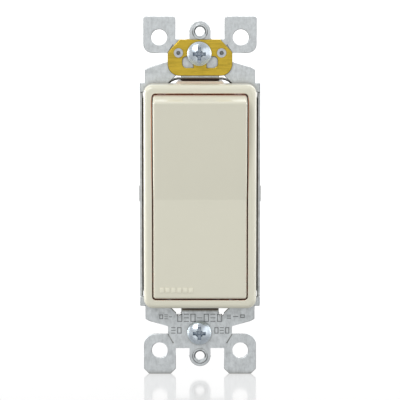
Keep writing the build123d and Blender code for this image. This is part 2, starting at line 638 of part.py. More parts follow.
# ================================================================ terminals
def terminal_plate(side, up, back):
    """The upright plate behind a terminal screw, tapped for it."""
    plate_x = sorted((side * (CAVITY_X - STRIP_T), side * CAVITY_X))
    block(plate_x, (POCKET_Y[0] - 0.8, back),
          (up * TERMINAL_Z - TERMINAL_HALF, up * TERMINAL_Z + TERMINAL_HALF))
    rod_x(TERMINAL_SHANK_R + THREAD_ROOM, plate_x, TERMINAL_SCREW_Y, up * TERMINAL_Z,
          mode=Mode.SUBTRACT)


strip_root = (TERMINAL_Z - TERMINAL_HALF, TERMINAL_Z - 0.6)
for name, up in (("upper_traveler_terminal", 1), ("lower_traveler_terminal", -1)):
    strip_y = (TRAVELER_Y, TRAVELER_Y + STRIP_T)
    with BuildPart() as traveler:
        terminal_plate(1, up, strip_y[1])
        block((4, CAVITY_X), strip_y, sorted((up * strip_root[0], up * strip_root[1])))
        block((4, 8), strip_y, sorted((up * 8.3, up * strip_root[1])))
        block((-2.5, 8), strip_y, sorted((up * 8.3, up * 12.7)))
    save(traveler, name)

with BuildPart() as common_terminal:
    strip_y = (COMMON_Y, COMMON_Y + STRIP_T)
    terminal_plate(-1, 1, strip_y[1])
    block((-CAVITY_X, -8), strip_y, strip_root)
    block((-12, -8), strip_y, (-3, strip_root[1]))
    block((-12, 4.5), strip_y, (-3, 3))
save(common_terminal, "common_terminal")


# ================================================================ terminal screws
terminal_screws = (
    ("common_screw", -1, 1, False),
    ("upper_traveler_screw", 1, 1, False),
    ("lower_traveler_screw", 1, -1, False),
    ("ground_screw", -1, -1, True),
)
for name, side, up, hexagonal in terminal_screws:
    head_in, head_out = TERMINAL_HEAD_X
    screw_side = Plane(origin=(0, TERMINAL_SCREW_Y, up * TERMINAL_Z), x_dir=(0, 1, 0),
                       z_dir=(side, 0, 0))
    with BuildPart() as screw:
        with BuildSketch(screw_side.offset(head_in)):
            if hexagonal:
                RegularPolygon(TERMINAL_HEAD_R, 6)
            else:
                Circle(TERMINAL_HEAD_R)
        extrude(amount=head_out - head_in)
        fillet(screw.edges().group_by(Axis.X)[-1 if side > 0 else 0], 0.4)
        with BuildSketch(screw_side.offset(TERMINAL_TIP_X)):
            Circle(TERMINAL_SHANK_R)
        extrude(amount=head_in - TERMINAL_TIP_X)
        with BuildSketch(screw_side.offset(head_out - 0.8)):
            Rectangle(8, 0.9)
            Rectangle(0.9, 3.6)
        extrude(amount=2, mode=Mode.SUBTRACT)
    save(screw, name)
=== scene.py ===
"""Looks of a decorator rocker wall switch, laid out as a Blender add-on and run as a script."""
import math

import bmesh
import bpy
from mathutils import Matrix, Vector


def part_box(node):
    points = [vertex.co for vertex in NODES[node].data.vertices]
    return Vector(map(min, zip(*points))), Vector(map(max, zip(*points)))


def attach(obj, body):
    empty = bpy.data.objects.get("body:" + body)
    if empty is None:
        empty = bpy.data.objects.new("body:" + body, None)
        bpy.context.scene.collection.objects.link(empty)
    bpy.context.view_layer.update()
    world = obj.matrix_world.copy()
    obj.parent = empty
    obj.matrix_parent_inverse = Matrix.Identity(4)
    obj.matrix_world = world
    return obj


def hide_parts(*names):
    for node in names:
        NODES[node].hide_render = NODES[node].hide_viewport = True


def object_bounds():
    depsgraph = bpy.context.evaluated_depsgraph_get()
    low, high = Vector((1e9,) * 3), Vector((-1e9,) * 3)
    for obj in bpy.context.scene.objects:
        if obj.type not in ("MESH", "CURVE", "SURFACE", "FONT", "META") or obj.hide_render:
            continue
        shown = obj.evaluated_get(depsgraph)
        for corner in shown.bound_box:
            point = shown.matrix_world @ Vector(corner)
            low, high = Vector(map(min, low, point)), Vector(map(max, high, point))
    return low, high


bl_info = {
    "name": "Rocker wall switch",
    "version": (1, 0, 0),
    "blender": (4, 5, 0),
    "location": "View3D > Sidebar > Switch",
    "description": "Finishes and fine pieces of a decorator rocker wall switch",
    "category": "Object",
}

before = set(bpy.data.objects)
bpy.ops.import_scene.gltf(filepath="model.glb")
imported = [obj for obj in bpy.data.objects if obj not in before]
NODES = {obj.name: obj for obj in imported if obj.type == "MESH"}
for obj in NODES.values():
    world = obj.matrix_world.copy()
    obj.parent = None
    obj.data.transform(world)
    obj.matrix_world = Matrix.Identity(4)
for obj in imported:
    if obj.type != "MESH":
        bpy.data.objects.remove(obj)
cad_low, cad_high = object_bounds()
MM = 0.001

# The rocker's lower face, upright at rest, and the row of plain blocks on it.
ROCKER_FACE_Y = -6.30 * MM
MARK_BLOCKS = 6
MARK_LEFT = -11.9 * MM
MARK_PITCH = 1.72 * MM
MARK_WIDTH = 1.25 * MM
MARK_LOW = -28.3 * MM
MARK_TOP = -26.8 * MM
MARK_ROUND = 0.06 * MM

# The left half of a thin charcoal band along the body's arched rim, which paints the dark shadow
# line above the cover.
# Its points are in millimetres, as across and up.
SHADOW_LINE_SIDE = ((-9.6, 32.2), (-9.2, 33.0), (-8.5, 33.65), (-7.5, 34.12), (-6.5, 34.33),
            (-5.85, 34.3), (-5.3, 34.08), (-4.6, 34.03))
SHADOW_LINE_DEPTH = (1.2 * MM, 5.4 * MM)
SHADOW_LINE_THICKNESS = 0.38 * MM

# Blocks on the body that close the slits under the cover's four corners.
BLOCK_ACROSS = (9.0 * MM, 12.6 * MM)
BLOCK_DEPTH = (1.2 * MM, 5.0 * MM)
BLOCK_HEIGHTS = ((-33.0 * MM, -31.35 * MM), (31.35 * MM, 32.4 * MM))
BLOCK_ROUND = 0.1 * MM

# The large row of stamped marks, in millimetres: first left edge, spacing and kinds.
ROW_LEFT = -6.8
ROW_PITCH = 1.98
ROW_KINDS = ("box", "bars", "box", "dash", "box", "bars", "box")

# Every stamped mark, in millimetres: left edge, middle height, width, height and kind.
STAMPS = (
    *[(ROW_LEFT + ROW_PITCH * place, -36.9, 1.5, 2.4, kind)
      for place, kind in enumerate(ROW_KINDS)],
    (-12.1, -36.6, 1.1, 1.4, "box"),
    (-10.6, -36.6, 1.0, 1.4, "bars"),
    (-9.2, -36.6, 0.9, 0.0, "dash"),
    (8.0, -36.6, 1.2, 1.2, "bars"),
    (9.8, -36.5, 1.6, 0.0, "dash"),
    (12.0, -36.4, 1.3, 1.0, "box"),
    (-8.6, -40.7, 1.3, 1.9, "bars"),
    (-6.8, -40.7, 1.3, 1.9, "box"),
    (4.3, -40.7, 1.2, 1.9, "box"),
    (5.9, -40.7, 1.2, 1.9, "bars"),
    (7.5, -40.7, 1.2, 1.9, "box"),
)
STAMP_RELIEF = 0.02 * MM

# Middles of the slots and break-off scores, whose edges stay crisp.
CRISP = [(x * MM, 0, z * MM) for x in (-8.75, 0, 8.75) for z in (-43.2, 43.2)]
CRISP_REACH = 4.4 * MM

# Sheet copies: faces flatter than the first angle are joined, edges sharper than the second
# are rounded, and vertices nearer than the reach are merged.
FLAT_ANGLE = math.radians(0.4)
SHARP_ANGLE = math.radians(50)
MERGE_REACH = 0.0005 * MM

# The device screws, which sit a little high in their slots, and their thread. Crest values
# are shares of the pitch.
SCREW_SPACING = 83.34 * MM
SCREW_RAISED = 0.3 * MM
SCREW_CENTRES = (-SCREW_SPACING / 2 + SCREW_RAISED, SCREW_SPACING / 2 + SCREW_RAISED)
SCREW_NECK_END = 2.25 * MM
SCREW_RADIUS = 1.75 * MM
THREAD_CREST = (0.42, 0.58)
THREAD_STEPS = 28
THREAD_STOP = 0.6 * MM
TIP_LENGTH = 0.8 * MM
TIP_RADIUS = 1.0 * MM

# Reach of the masks that paint shade into gaps and recesses.
GAP_REACH = 2.2 * MM

# The stage: half the floor's side, the brightness of the surround to the camera, and the
# lamps as name, place, size, the power setting that each follows and its share of it.
FLOOR_HALF = 6
SURROUND_SEEN = 1.1
LAMPS = (
    ("key", (-0.45, -0.75, 0.65), 0.5, "key", 1.0),
    ("fill", (0.8, -0.7, 0.2), 0.9, "key", 0.35),
    ("back", (0.3, 0.9, 0.7), 0.8, "key", 0.8),
    ("left edge", (-0.5, 0.06, 0.05), 0.3, "edge", 1.0),
    ("right edge", (0.5, 0.06, 0.05), 0.3, "edge", 0.6),
)


# ---------------------------------------------------------------- settings
def colour(name, description, default):
    """A colour that the panel offers."""
    return bpy.props.FloatVectorProperty(
        name=name, description=description, subtype="COLOR", size=3, min=0, max=1, default=default)


def length(name, description, default):
    """A length in metres that the panel offers."""
    return bpy.props.FloatProperty(
        name=name, description=description, unit="LENGTH", subtype="DISTANCE", precision=5,
        default=default)


class SwitchColours(bpy.types.PropertyGroup):
    """Colours of the finishes, linear."""

    almond: colour("Almond", "Cover and rocker plastic", (0.64, 0.625, 0.515))
    shadow: colour("Shadow", "Depths of the gaps between almond parts", (0.58, 0.16, 0.06))
    charcoal: colour("Charcoal", "Moulded body", (0.030, 0.030, 0.024))
    zinc: colour("Zinc", "Galvanized strap", (0.74, 0.775, 0.79))
    gold: colour("Gold", "Grounding clip", (0.74, 0.525, 0.065))
    bright: colour("Bright zinc", "Device screws", (0.62, 0.69, 0.76))
    brass: colour("Brass", "Terminals and traveler screws", (0.60, 0.40, 0.14))
    fibre: colour("Fibre", "Retainers and arc shield", (0.28, 0.17, 0.085))
    green: colour("Green", "Ground screw", (0.012, 0.16, 0.045))


class SwitchSizes(bpy.types.PropertyGroup):
    """Sizes of the fine pieces."""

    thread_pitch: length("Thread pitch", "32 threads to the inch", 25.4 / 32 * MM)
    thread_depth: length("Thread depth", "Crest to root", 0.38 * MM)
    mark_height: length("Mark height", "Relief of the rocker's moulded mark", 0.13 * MM)
    stamp_width: length("Stamp width", "Stroke of the strap's stamped dashes", 0.24 * MM)
    edge_round: length("Edge rounding", "Width of the broken edges of sheet parts", 0.22 * MM)


class SwitchStage(bpy.types.PropertyGroup):
    """Camera and light."""

    distance: length("Camera distance", "From the strap's front face", 0.816)
    elevation: bpy.props.FloatProperty(
        name="Elevation", description="Camera's height above level", subtype="ANGLE",
        default=math.radians(7.6))
    lens: bpy.props.FloatProperty(
        name="Lens", description="Focal length on a 36 mm sensor", unit="CAMERA", default=248.0)
    aim_height: length("Aim height", "Height of the point looked at", -1.5 * MM)
    sky_front: bpy.props.FloatProperty(
        name="Front surround", description="Brightness behind the camera", default=0.60)
    sky_back: bpy.props.FloatProperty(
        name="Back surround", description="Brightness behind the switch", default=1.15)
    edge: bpy.props.FloatProperty(
        name="Edge lights", description="Power of the lights beside the switch, in watts",
        default=1.7)
    floor_seen: bpy.props.FloatProperty(
        name="Floor seen", description="Brightness of the floor to the camera", default=0.57)
    floor_light: bpy.props.FloatProperty(
        name="Floor light", description="Brightness of the floor to the switch", default=0.45)
    key: bpy.props.FloatProperty(
        name="Key light", description="Power of the soft key light, in watts", default=5.5)


# ---------------------------------------------------------------- shared shader groups
def new_group(name, inputs, outputs):
    """An empty shader group with named sockets, or the one already made."""
    if name in bpy.data.node_groups:
        return bpy.data.node_groups[name], None, None
    group = bpy.data.node_groups.new(name, "ShaderNodeTree")
    for label, kind, value in inputs:
        socket = group.interface.new_socket(label, in_out="INPUT", socket_type=kind)
        if value is not None:
            socket.default_value = value
    for label, kind in outputs:
        group.interface.new_socket(label, in_out="OUTPUT", socket_type=kind)
    return group, group.nodes.new("NodeGroupInput"), group.nodes.new("NodeGroupOutput")


def mottle_group():
    """Cloudy variation between two colours, with a mask for roughness."""
    group, given, result = new_group(
        "Mottle",
        [("Scale", "NodeSocketFloat", 400.0), ("Contrast", "NodeSocketFloat", 0.5),
         ("Light", "NodeSocketColor", (1, 1, 1, 1)), ("Dark", "NodeSocketColor", (0, 0, 0, 1))],
        [("Color", "NodeSocketColor"), ("Mask", "NodeSocketFloat")])
    if given is None:
        return group
    nodes, link = group.nodes, group.links.new
    place = nodes.new("ShaderNodeTexCoord")
    noise = nodes.new("ShaderNodeTexNoise")
    noise.inputs["Detail"].default_value = 6
    noise.inputs["Roughness"].default_value = 0.62
    spread = nodes.new("ShaderNodeMapRange")
    spread.inputs["From Min"].default_value = 0.32
    spread.inputs["From Max"].default_value = 0.68
    amount = nodes.new("ShaderNodeMath")
    amount.operation = "MULTIPLY"
    mix = nodes.new("ShaderNodeMix")
    mix.data_type = "RGBA"
    link(place.outputs["Object"], noise.inputs["Vector"])
    link(given.outputs["Scale"], noise.inputs["Scale"])
    link(noise.outputs["Fac"], spread.inputs["Value"])
    link(spread.outputs["Result"], amount.inputs[0])
    link(given.outputs["Contrast"], amount.inputs[1])
    link(amount.outputs["Value"], mix.inputs["Factor"])
    link(given.outputs["Light"], mix.inputs["A"])
    link(given.outputs["Dark"], mix.inputs["B"])
    link(mix.outputs["Result"], result.inputs["Color"])
    link(amount.outputs["Value"], result.inputs["Mask"])
    return group


def grain_group():
    """Fine lines drawn out along one axis, as rolling and stamping leave them."""
    group, given, result = new_group(
        "Grain",
        [("Stretch", "NodeSocketVector", (1, 1, 1)), ("Scale", "NodeSocketFloat", 900.0)],
        [("Height", "NodeSocketFloat")])
    if given is None:
        return group
    nodes, link = group.nodes, group.links.new
    place = nodes.new("ShaderNodeTexCoord")
    stretch = nodes.new("ShaderNodeVectorMath")
    stretch.operation = "MULTIPLY"
    noise = nodes.new("ShaderNodeTexNoise")
    noise.inputs["Detail"].default_value = 5
    noise.inputs["Roughness"].default_value = 0.7
    link(place.outputs["Object"], stretch.inputs[0])
    link(given.outputs["Stretch"], stretch.inputs[1])
    link(stretch.outputs["Vector"], noise.inputs["Vector"])
    link(given.outputs["Scale"], noise.inputs["Scale"])
    link(noise.outputs["Fac"], result.inputs["Height"])
    return group


def edge_group():
    """A mask that is 1 along worn outer edges, broken up so that it isn't a clean line."""
    group, given, result = new_group(
        "Edge wear",
        [("Start", "NodeSocketFloat", 0.53), ("End", "NodeSocketFloat", 0.62)],
        [("Mask", "NodeSocketFloat")])
    if given is None:
        return group
    nodes, link = group.nodes, group.links.new
    shape = nodes.new("ShaderNodeNewGeometry")
    spread = nodes.new("ShaderNodeMapRange")
    place = nodes.new("ShaderNodeTexCoord")
    noise = nodes.new("ShaderNodeTexNoise")
    noise.inputs["Scale"].default_value = 1400
    times = nodes.new("ShaderNodeMath")
    times.operation = "MULTIPLY"
    link(shape.outputs["Pointiness"], spread.inputs["Value"])
    link(given.outputs["Start"], spread.inputs["From Min"])
    link(given.outputs["End"], spread.inputs["From Max"])
    link(place.outputs["Object"], noise.inputs["Vector"])
    link(spread.outputs["Result"], times.inputs[0])
    link(noise.outputs["Fac"], times.inputs[1])
    link(times.outputs["Value"], result.inputs["Mask"])
    return group


def crevice_group():
    """A mask that is 1 down in narrow gaps and recesses, where shade is painted in."""
    group, given, result = new_group(
        "Crevice",
        [("Reach", "NodeSocketFloat", 0.0015), ("Open", "NodeSocketFloat", 0.55),
         ("Closed", "NodeSocketFloat", 0.15)],
        [("Mask", "NodeSocketFloat")])
    if given is None:
        return group
    nodes, link = group.nodes, group.links.new
    around = nodes.new("ShaderNodeAmbientOcclusion")
    around.samples = 8
    spread = nodes.new("ShaderNodeMapRange")
    link(given.outputs["Reach"], around.inputs["Distance"])
    link(around.outputs["AO"], spread.inputs["Value"])
    link(given.outputs["Open"], spread.inputs["From Min"])
    link(given.outputs["Closed"], spread.inputs["From Max"])
    link(spread.outputs["Result"], result.inputs["Mask"])
    return group


def edge_shade_group():
    """A mask that is 1 on a sheet's broken edges and slanted walls, save those that face up, where
    shade is painted; up-facing ones are left out because light falls on them.
    """
    group, given, result = new_group("Broken edge", [], [("Mask", "NodeSocketFloat")])
    if given is None:
        return group
    nodes, link = group.nodes, group.links.new
    place = nodes.new("ShaderNodeTexCoord")
    size = nodes.new("ShaderNodeVectorMath")
    size.operation = "ABSOLUTE"
    parts = nodes.new("ShaderNodeSeparateXYZ")
    wider = nodes.new("ShaderNodeMath")
    wider.operation = "MAXIMUM"
    widest = nodes.new("ShaderNodeMath")
    widest.operation = "MAXIMUM"
    spread = nodes.new("ShaderNodeMapRange")
    spread.inputs["From Min"].default_value = 0.99
    spread.inputs["From Max"].default_value = 0.85
    split = nodes.new("ShaderNodeSeparateXYZ")
    upward = nodes.new("ShaderNodeMapRange")
    upward.inputs["From Min"].default_value = 0.4
    upward.inputs["From Max"].default_value = 0.15
    both = nodes.new("ShaderNodeMath")
    both.operation = "MULTIPLY"
    link(place.outputs["Normal"], size.inputs[0])
    link(size.outputs["Vector"], parts.inputs["Vector"])
    link(parts.outputs["X"], wider.inputs[0])
    link(parts.outputs["Y"], wider.inputs[1])
    link(wider.outputs["Value"], widest.inputs[0])
    link(parts.outputs["Z"], widest.inputs[1])
    link(widest.outputs["Value"], spread.inputs["Value"])
    link(place.outputs["Normal"], split.inputs["Vector"])
    link(split.outputs["Z"], upward.inputs["Value"])
    link(spread.outputs["Result"], both.inputs[0])
    link(upward.outputs["Result"], both.inputs[1])
    link(both.outputs["Value"], result.inputs["Mask"])
    return group


# ---------------------------------------------------------------- materials
def shade(rgb, factor):
    """A colour made lighter or darker, with alpha."""
    return (*[min(1, channel * factor) for channel in rgb[:3]], 1)


def start_material(name):
    """A material with its shader, node list and link call."""
    material = bpy.data.materials.new(name)
    material.use_nodes = True
    tree = material.node_tree
    return material, tree.nodes["Principled BSDF"], tree.nodes, tree.links.new


def use_group(nodes, group, **values):
    """A group node with its inputs set by name."""
    node = nodes.new("ShaderNodeGroup")
    node.node_tree = group
    for label, value in values.items():
        node.inputs[label].default_value = value
    return node


def rough_from(nodes, link, mask, shader, low, high):
    """Roughness that follows a mask between two values."""
    spread = nodes.new("ShaderNodeMapRange")
    spread.inputs["To Min"].default_value = low
    spread.inputs["To Max"].default_value = high
    link(mask, spread.inputs["Value"])
    link(spread.outputs["Result"], shader.inputs["Roughness"])


def bump_from(nodes, link, height, shader, strength, distance):
    """A bump from a height, on the shader's normal."""
    bump = nodes.new("ShaderNodeBump")
    bump.inputs["Strength"].default_value = strength
    bump.inputs["Distance"].default_value = distance
    link(height, bump.inputs["Height"])
    link(bump.outputs["Normal"], shader.inputs["Normal"])


def mix_in(nodes, link, colour_socket, mask_socket, tint):
    """A colour with a tint mixed in by a mask."""
    mix = nodes.new("ShaderNodeMix")
    mix.data_type = "RGBA"
    mix.inputs["B"].default_value = (*tint[:3], 1)
    link(colour_socket, mix.inputs["A"])
    link(mask_socket, mix.inputs["Factor"])
    return mix.outputs["Result"]


def plastic(name, rgb, rough, contrast=0.10, pits=0.05, coat=0.0, gap_shade=None):
    """Moulded plastic: faint flow clouding, a fine texture and, given a shade colour for the gaps,
    painted shade in the gaps.
    """
    material, shader, nodes, link = start_material(name)
    clouds = use_group(nodes, mottle_group(), Scale=60.0, Contrast=contrast,
                       Light=shade(rgb, 1.02), Dark=shade(rgb, 0.86))
    tint = clouds.outputs["Color"]
    # Painted shade: the shadow colour is mixed into narrow gaps by an occlusion mask.
    if gap_shade:
        shade_mask = use_group(nodes, crevice_group(), Reach=GAP_REACH, Open=0.60, Closed=0.30)
        tint = mix_in(nodes, link, tint, shade_mask.outputs["Mask"], gap_shade)
    link(tint, shader.inputs["Base Color"])
    rough_from(nodes, link, clouds.outputs["Mask"], shader, rough, rough + 0.5)
    texture = use_group(nodes, grain_group(), Stretch=(1, 1, 1), Scale=2600.0)
    bump_from(nodes, link, texture.outputs["Height"], shader, pits, 0.04 * MM)
    shader.inputs["IOR"].default_value = 1.5
    shader.inputs["Coat Weight"].default_value = coat
    shader.inputs["Coat Roughness"].default_value = 0.12
    return material


def metal(name, rgb, rough, scale=500.0, contrast=0.5, dark=0.6, stretch=(1, 1, 1), lines=0.10,
          metallic=1.0, streaks=0.0, edge_shade=None, recess_shade=None):
    """Plated or rolled metal: blotches, drawn lines and worn edges.

    The edge shade colour paints shade on a sheet's broken edges and slanted walls, in place of the
    wear, and the shade for hollows paints shade into the recesses.
    """
    material, shader, nodes, link = start_material(name)
    blotch = use_group(nodes, mottle_group(), Scale=scale, Contrast=contrast,
                       Light=shade(rgb, 1.05), Dark=shade(rgb, dark))
    tint = blotch.outputs["Color"]
    drawn = use_group(nodes, grain_group(), Stretch=stretch, Scale=1100.0)
    if streaks:
        band = nodes.new("ShaderNodeMapRange")
        band.inputs["From Min"].default_value = 0.46
        band.inputs["From Max"].default_value = 0.70
        band.inputs["To Max"].default_value = streaks
        link(drawn.outputs["Height"], band.inputs["Value"])
        tint = mix_in(nodes, link, tint, band.outputs["Result"], shade(rgb, dark * 0.5))
    # Painted shade on the broken edges and slanted walls.
    if edge_shade:
        edge_shade_mask = use_group(nodes, edge_shade_group())
        tint = mix_in(nodes, link, tint, edge_shade_mask.outputs["Mask"], edge_shade)
    else:
        wear = use_group(nodes, edge_group())
        tint = mix_in(nodes, link, tint, wear.outputs["Mask"], shade(rgb, 1.45))
    # Painted shade in the recesses, by an occlusion mask.
    if recess_shade:
        shade_mask = use_group(nodes, crevice_group(), Reach=GAP_REACH, Open=0.80, Closed=0.20)
        tint = mix_in(nodes, link, tint, shade_mask.outputs["Mask"], recess_shade)
    link(tint, shader.inputs["Base Color"])
    rough_from(nodes, link, blotch.outputs["Mask"], shader, rough, rough + 0.3)
    bump_from(nodes, link, drawn.outputs["Height"], shader, lines, 0.06 * MM)
    shader.inputs["Metallic"].default_value = metallic
    return material


def dress(material, *names):
    """Give CAD nodes a material."""
    for name in names:
        mesh = NODES[name].data
        mesh.materials.clear()
        mesh.materials.append(material)


# ---------------------------------------------------------------- mesh helpers
def finish_piece(name, body, mesh_maker, material, replaces=()):
    """Turn a bmesh into an object that rides on a body."""
    mesh = bpy.data.meshes.new(name)
    mesh_maker.to_mesh(mesh)
    mesh_maker.free()
    mesh.materials.append(material)
    piece = bpy.data.objects.new(name, mesh)
    bpy.context.scene.collection.objects.link(piece)
    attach(piece, body)
    if replaces:
        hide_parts(*replaces)
    return piece


def smooth_by_angle(bm, degrees=35):
    """Smooth faces, with edges sharper than an angle kept crisp."""
    for face in bm.faces:
        face.smooth = True
    for edge in bm.edges:
        edge.smooth = edge.is_boundary or edge.calc_face_angle(0) < math.radians(degrees)


def copy_of_node(name):
    """A merged bmesh copy of a CAD node."""
    bm = bmesh.new()
    bm.from_mesh(NODES[name].data)
    bmesh.ops.remove_doubles(bm, verts=bm.verts[:], dist=MERGE_REACH)
    return bm


def broken_edges(piece, width):
    """Round a sheet piece's edges, as shearing and plating leave them."""
    rounding = piece.modifiers.new("Broken edges", "BEVEL")
    rounding.width = width
    rounding.segments = 2
    rounding.limit_method = "WEIGHT"
    rounding.use_clamp_overlap = False
    rounding.harden_normals = True


def sheet_copy(name, body, material, width, keep_sharp=()):
    """A CAD sheet node stood in for by a copy with broken edges, save near some points."""
    bm = copy_of_node(name)
    bmesh.ops.dissolve_limit(bm, angle_limit=FLAT_ANGLE, verts=bm.verts[:], edges=bm.edges[:])
    smooth_by_angle(bm)
    weight = bm.edges.layers.float.new("bevel_weight_edge")
    for edge in bm.edges:
        middle = (edge.verts[0].co + edge.verts[1].co) / 2
        near = any((middle - Vector(point)).length < CRISP_REACH for point in keep_sharp)
        if not near and edge.calc_face_angle(0) > SHARP_ANGLE:
            edge[weight] = 1.0
    piece = finish_piece(name + "_finished", body, bm, material, (name,))
    broken_edges(piece, width)
    return piece


def add_thread(bm, x, z, span, radius, pitch, depth):
    """A helical thread along Y, with its core, between two depths."""
    turns = (span[1] - span[0]) / pitch - 1
    outline = ((radius - depth, 0), (radius, THREAD_CREST[0] * pitch),
               (radius, THREAD_CREST[1] * pitch), (radius - depth, pitch))
    verts = [bm.verts.new((x + r, span[0] + y, z)) for r, y in outline]
    edges = [bm.edges.new(pair) for pair in zip(verts, verts[1:])]
    total = round(THREAD_STEPS * turns)
    bmesh.ops.spin(bm, geom=verts + edges, cent=(x, 0, z), axis=(0, 1, 0),
                   dvec=(0, pitch / THREAD_STEPS, 0),
                   angle=math.tau * total / THREAD_STEPS, steps=total,
                   use_merge=False, use_normal_flip=False, use_duplicate=False)
    core = Matrix.Translation((x, sum(span) / 2, z)) @ Matrix.Rotation(math.pi / 2, 4, "X")
    bmesh.ops.create_cone(bm, cap_ends=True, segments=THREAD_STEPS, radius1=radius - depth,
                          radius2=radius - depth, depth=span[1] - span[0], matrix=core)


def add_band(bm, points, depth, thickness):
    """A band of even thickness that follows points in the front view, between two depths."""
    rings = []
    for place, (x, z) in enumerate(points):
        before, after = points[max(place - 1, 0)], points[min(place + 1, len(points) - 1)]
        along = Vector((after[0] - before[0], 0, after[1] - before[1])).normalized()
        out = Vector((-along.z, 0, along.x)) * thickness / 2
        corners = ((out, depth[0]), (out, depth[1]), (-out, depth[1]), (-out, depth[0]))
        rings.append([bm.verts.new(Vector((x, y, z)) + shift) for shift, y in corners])
    for first, second in zip(rings, rings[1:]):
        for side in range(4):
            turn = (side + 1) % 4
            bm.faces.new((first[side], second[side], second[turn], first[turn]))
    bm.faces.new(rings[0])
    bm.faces.new(reversed(rings[-1]))
    bmesh.ops.recalc_face_normals(bm, faces=bm.faces[:])


def add_bar(bm, low, high, bevel):
    """A small bar with rounded edges between two corners."""
    centre = (Vector(low) + Vector(high)) / 2
    size = Vector(high) - Vector(low)
    place = Matrix.Translation(centre) @ Matrix.Diagonal((*size, 1))
    made = bmesh.ops.create_cube(bm, size=1, matrix=place)
    edges = {edge for vert in made["verts"] for edge in vert.link_edges}
    bmesh.ops.bevel(bm, geom=list(edges), offset=bevel, segments=2, profile=0.5,
                    affect="EDGES", material=-1)


# ---------------------------------------------------------------- operators
class SWITCH_OT_plastic(bpy.types.Operator):
    """Finish the almond cover and rocker and the charcoal body"""

    bl_idname = "switch.plastic"
    bl_label = "Moulded plastic"

    def execute(self, context):
        tints = context.scene.switch_colours
        # The shadow colour is painted into the almond's gaps as shade.
        almond = plastic("Almond plastic", tints.almond, 0.28, coat=0.6, gap_shade=tints.shadow)
        dress(almond, "cover_frame", "rocker")
        # Painted highlight: the mark's blocks get a lighter copy of the almond, for the light that
        # their raised edges catch.
        lit_almond = plastic("Almond relief lit", shade(tints.almond, 1.12), 0.26, coat=0.35)
        self.add_mark(context.scene.switch_sizes, lit_almond)
        charcoal = plastic("Charcoal plastic", tints.charcoal, 0.5, contrast=0.4, pits=0.25)
        dress(charcoal, "back_body")
        # A thin charcoal band paints the shadow line above the cover.
        self.add_shadow_line(charcoal)
        dress(plastic("Nylon", (0.72, 0.70, 0.62), 0.4), "plunger")
        dress(plastic("Fibre", tints.fibre, 0.75, contrast=0.6, pits=0.4),
              "screw_retainers", "arc_shield")
        return {"FINISHED"}

    def add_mark(self, sizes, material):
        """A row of plain raised blocks, low on the left of the rocker's face."""
        bm = bmesh.new()
        for place in range(MARK_BLOCKS):
            left = MARK_LEFT + place * MARK_PITCH
            add_bar(bm, (left, ROCKER_FACE_Y - sizes.mark_height, MARK_LOW),
                    (left + MARK_WIDTH, ROCKER_FACE_Y + sizes.mark_height, MARK_TOP),
                    MARK_ROUND)
        smooth_by_angle(bm)
        finish_piece("rocker_mark", "rocker", bm, material)

    def add_shadow_line(self, material):
        """A thin charcoal band over the cover that paints its dark shadow line, and the blocks
        behind the cover's corners.
        """
        bm = bmesh.new()
        left_half = [(x * MM, z * MM) for x, z in SHADOW_LINE_SIDE]
        right_half = [(-x, z) for x, z in left_half][::-1]
        add_band(bm, left_half + right_half, SHADOW_LINE_DEPTH, SHADOW_LINE_THICKNESS)
        for side in (1, -1):
            near, far = sorted(side * x for x in BLOCK_ACROSS)
            for low, high in BLOCK_HEIGHTS:
                add_bar(bm, (near, BLOCK_DEPTH[0], low), (far, BLOCK_DEPTH[1], high),
                        BLOCK_ROUND)
        smooth_by_angle(bm)
        finish_piece("painted_shadow_line", "housing", bm, material)


class SWITCH_OT_strap(bpy.types.Operator):
    """Finish the galvanized strap"""

    bl_idname = "switch.strap"
    bl_label = "Galvanized strap"

    def execute(self, context):
        tints = context.scene.switch_colours
        sizes = context.scene.switch_sizes
        # Painted shade: the edge tint darkens the strap's broken edges and walls, and the hollows
        # tint darkens its recesses.
        steel = metal("Galvanized steel", tints.zinc, 0.36, scale=560.0, contrast=0.7, dark=0.68,
                      stretch=(1, 1, 0.35), lines=0.3, metallic=0.9, streaks=0.3,
                      edge_shade=shade(tints.zinc, 0.28), recess_shade=(0.22, 0.22, 0.19))
        sheet_copy("mounting_strap", "housing", steel, sizes.edge_round,
                   CRISP)
        # The stamps' dark steel is painted shade.
        self.add_stamps(sizes, metal("Stamp shade steel", shade(tints.zinc, 0.34), 0.5))
        return {"FINISHED"}

    def add_stamps(self, sizes, material):
        """Plain stamped boxes and dashes where the strap carries its markings, in a dark steel
        that paints the shade down in stamped grooves.
        """
        bm = bmesh.new()
        stroke = sizes.stamp_width / MM
        for left, middle, wide, high, kind in STAMPS:
            low, top = middle - high / 2, middle + high / 2
            right = left + wide
            lines = {
                "box": ((left, low, right, low + stroke), (left, top - stroke, right, top),
                        (left, low, left + stroke, top), (right - stroke, low, right, top)),
                "bars": ((left, low, right, low + stroke), (left, top - stroke, right, top),
                         (left, middle - stroke / 2, right, middle + stroke / 2)),
                "dash": ((left, middle - stroke / 2, right, middle + stroke / 2),),
            }[kind]
            for x0, z0, x1, z1 in lines:
                add_bar(bm, (x0 * MM, -STAMP_RELIEF, z0 * MM), (x1 * MM, STAMP_RELIEF, z1 * MM),
                        STAMP_RELIEF / 2)
        finish_piece("strap_stamps", "housing", bm, material)


